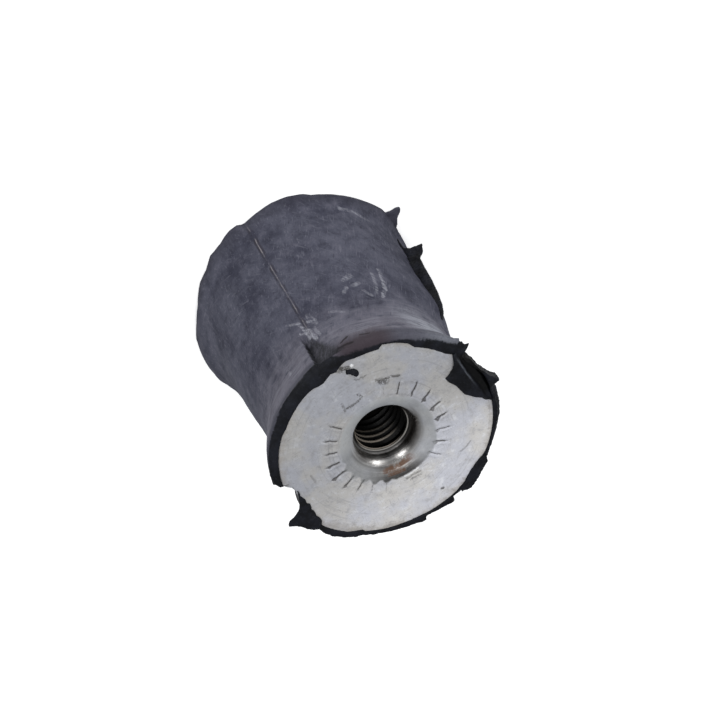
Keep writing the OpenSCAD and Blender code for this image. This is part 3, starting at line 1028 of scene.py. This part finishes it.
def bush_finish(name):
    """Steel under a veil of chalk, bare and rusty low in the mouth, with dirt in the marks, painted shade at
    the throat and in the bore, and painted light on the thread's lit crests and the throat's edges.
    """
    finish = Finish(name)
    coat, patch, speck = chalk_color(finish)
    middle = mount_h / 2
    level = finish.size(finish.z - middle) - middle
    dirt = finish.rise(finish.mask("struck") + (speck - 0.5) * 0.6, 0.2, 0.7)
    coat = finish.blend(dirt * 0.85, coat, stake_dirt)
    comb_angle = (finish.turn - comb_turn) * (2 * math.pi / comb_step)
    comb = finish.node("Math", {"operation": "SINE"}, {0: comb_angle})
    comb = comb * finish.rise(finish.towards(245), 0.7, 0.9)
    worn = finish.rise(finish.towards(290), 0.0, 0.6) * 0.6 - comb * 0.4
    edge = finish.r + (patch - 0.5) * 0.6 + (speck - 0.5) * 0.4 - worn
    in_mouth = finish.fall(edge, mouth_r - 0.25, mouth_r + 0.2)
    upper = finish.rise(finish.towards(130) + (patch - 0.5) * 0.6, -0.3, 0.6)
    upper = upper * finish.rise(finish.r, 5.05, 5.6)
    aside = finish.rise(finish.towards(15), 0.3, 0.85)
    aside = aside * finish.rise(finish.r + (patch - 0.5) * 0.8, 5.5, 6.6)
    lower = finish.rise(finish.towards(215), 0.4, 0.95)
    lower = lower * finish.rise(finish.r + (patch - 0.5) * 0.6, 5.5, 6.6)
    veil = finish.most(upper * 0.92, finish.most(aside * 0.75, lower * 0.6))
    bare = in_mouth * (1 - veil)
    coat = finish.blend(in_mouth * 0.5, coat, mouth_coat)
    turned = finish.cloud(1.0, 3.0, 0.65, finish.join(finish.r * 4.5, level * 4.5, finish.towards(0) * 0.4))
    worn_steel = finish.blend(finish.rise(turned, 0.35, 0.68), worn_bright, worn_grey)
    dull_steel = finish.blend(finish.rise(turned + patch, 0.8, 1.2), dull_pale, dull_dark)
    steel = finish.blend(finish.rise(finish.r + (patch - 0.5) * 0.8, 5.5, 6.3), worn_steel, dull_steel)
    # Painted shade: a dark band round the right of the throat.
    shade = finish.rise(finish.towards(8), 0.4, 0.85) * finish.fall(finish.r + (patch - 0.5) * 0.4, 5.3, 6.0)
    steel = finish.blend(shade * 0.85, steel, throat_shade)
    u = finish.x + (patch - 0.5) * 1.2
    v = finish.y + (turned - 0.5) * 1.2
    rust = finish.most(finish.stroke(u, v, rust_streak, 0.6), finish.stroke(u, v, rust_trail, 0.4))
    rust = rust * finish.rise(speck + patch, 0.7, 1.1)
    steel = finish.blend(rust * 0.85, steel, rust_brown)
    # Painted shade: the bore is near-black inside, with painted light on the thread crests of its lit side.
    in_bore = finish.fall(level, -3.3, -2.8)
    lit = finish.rise(finish.towards(245), 0.0, 0.75) * finish.rise(level, -10.0, -4.2)
    crest = finish.fall(finish.r + (patch - 0.5) * 0.12, crest_r + 0.05, crest_r + 0.25)
    steel = finish.blend(in_bore, steel, finish.blend(crest * lit, bore_shade, lit_crest))
    # Painted highlights: two bright lines along the throat's turned edges.
    throat_glint = finish.fall(finish.size(finish.size(level + 3.05) - 0.3), 0.03, 0.1)
    throat_glint = throat_glint * finish.rise(finish.towards(310), -0.2, 0.4)
    steel = finish.blend(throat_glint * 0.6, steel, turned_edge_highlight)
    finish.set(Base_Color=finish.blend(bare, coat, steel))
    finish.set(Metallic=bare * (1 - rust * 0.7) * (1 - in_bore))
    finish.set(Specular_IOR_Level=0.08)
    finish.set(Roughness=0.82 - bare * (0.54 - (patch - 0.4) * 0.4 - rust * 0.2))
    finish.bump(patch + speck * 0.5 + turned * 0.4, 0.35, 0.1)
    return finish.material


bush_steel = bush_finish("bush_steel")
top_burr = 0.07
for name, place, burr in (("top", upright, top_burr), ("bottom", upside_down, 0)):
    bush = lathe(name + "_bush_turned", bush_profile, round_steps)
    struck_mask = bush.data.attributes.new("struck", "FLOAT", "POINT")
    for vertex in bush.data.vertices:
        vertex.co, struck_mask.data[vertex.index].value = strike(vertex.co.copy(), burr)
    bpy.ops.object.shade_smooth_by_angle(angle=math.radians(50))
    bush.data.materials.append(bush_steel)
    into_place(bush, place)
    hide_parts(name + "_bush")
    ridge = thread_ridge(name + "_bush_thread")
    ridge.data.materials.append(bush_steel)
    into_place(ridge, place)

# The studio: a wide white floor that the mount stands on, in an even pale surround.
# One soft box hangs overhead, and two low ones light the flank from the +Y side.
floor_w = 4
bpy.ops.object.select_all(action="DESELECT")
bpy.ops.mesh.primitive_plane_add(size=floor_w, location=(0, 0, 0))
floor = bpy.context.active_object
floor.name = "floor"
white = Finish("white_floor")
seen = white.node("LightPath", {}, {}, "Is Camera Ray")
mirrored = white.node("LightPath", {}, {}, "Is Glossy Ray")
white.set(Base_Color=(0.85, 0.85, 0.85), Roughness=1.0, Emission_Strength=0.55)
white.set(Emission_Color=white.blend(white.most(seen, mirrored * 0.3), (0, 0, 0), (1, 1, 1)))
floor.data.materials.append(white.material)

world = bpy.data.worlds.new("surround")
bpy.context.scene.world = world
world.use_nodes = True
surround = world.node_tree
ray = surround.nodes.new("ShaderNodeLightPath")
sky = surround.nodes.new("ShaderNodeMix")
sky.data_type = "RGBA"
sky.inputs[6].default_value = (0.36, 0.37, 0.38, 1)
sky.inputs[7].default_value = (1, 1, 1, 1)
surround.links.new(ray.outputs["Is Camera Ray"], sky.inputs[0])
surround.links.new(sky.outputs[2], surround.nodes["Background"].inputs["Color"])


def soft_box(name, place, aim, size, watts):
    """A square soft box at a place, aimed at a point. Lengths in metres."""
    lamp = bpy.data.lights.new(name, "AREA")
    lamp.size = size
    lamp.energy = watts
    box = bpy.data.objects.new(name, lamp)
    box.location = place
    box.rotation_euler = (Vector(aim) - Vector(place)).to_track_quat("-Z", "Y").to_euler()
    bpy.context.scene.collection.objects.link(box)


lamp_aim = (0, 0, 0.03)
soft_box("overhead", (-0.1, 0.1, 0.7), lamp_aim, 0.4, 2.1)
soft_box("low_right", (0.32, 0.52, 0.2), lamp_aim, 0.22, 1.05)
soft_box("low_left", (-0.42, 0.44, 0.2), lamp_aim, 0.22, 1.05)

# The camera: looks down on the top plate from the +Y side, with a long lens.
# It is rolled so that the mount's axis runs down to the right.
scene = bpy.context.scene
scene.view_settings.view_transform = "Standard"
view_turn = math.radians(120.4)
view_rise = math.radians(52.0)
view_roll = math.radians(149.7)
view_distance = 0.4
view_aim = Vector((-0.00303, 0.01011, 0.03699))
view_lens = 125.4
view_sensor = 36
towards = Vector((
    math.cos(view_turn) * math.cos(view_rise), math.sin(view_turn) * math.cos(view_rise), math.sin(view_rise)
))
camera_data = bpy.data.cameras.new("camera")
camera_data.sensor_width = view_sensor
camera_data.lens = view_lens
camera_data.clip_start = 0.01
camera = bpy.data.objects.new("camera", camera_data)
camera.matrix_world = (
    Matrix.Translation(view_aim + towards * view_distance)
    @ (-towards).to_track_quat("-Z", "Y").to_matrix().to_4x4()
    @ Matrix.Rotation(view_roll, 4, "Z")
)
scene.collection.objects.link(camera)
scene.camera = camera
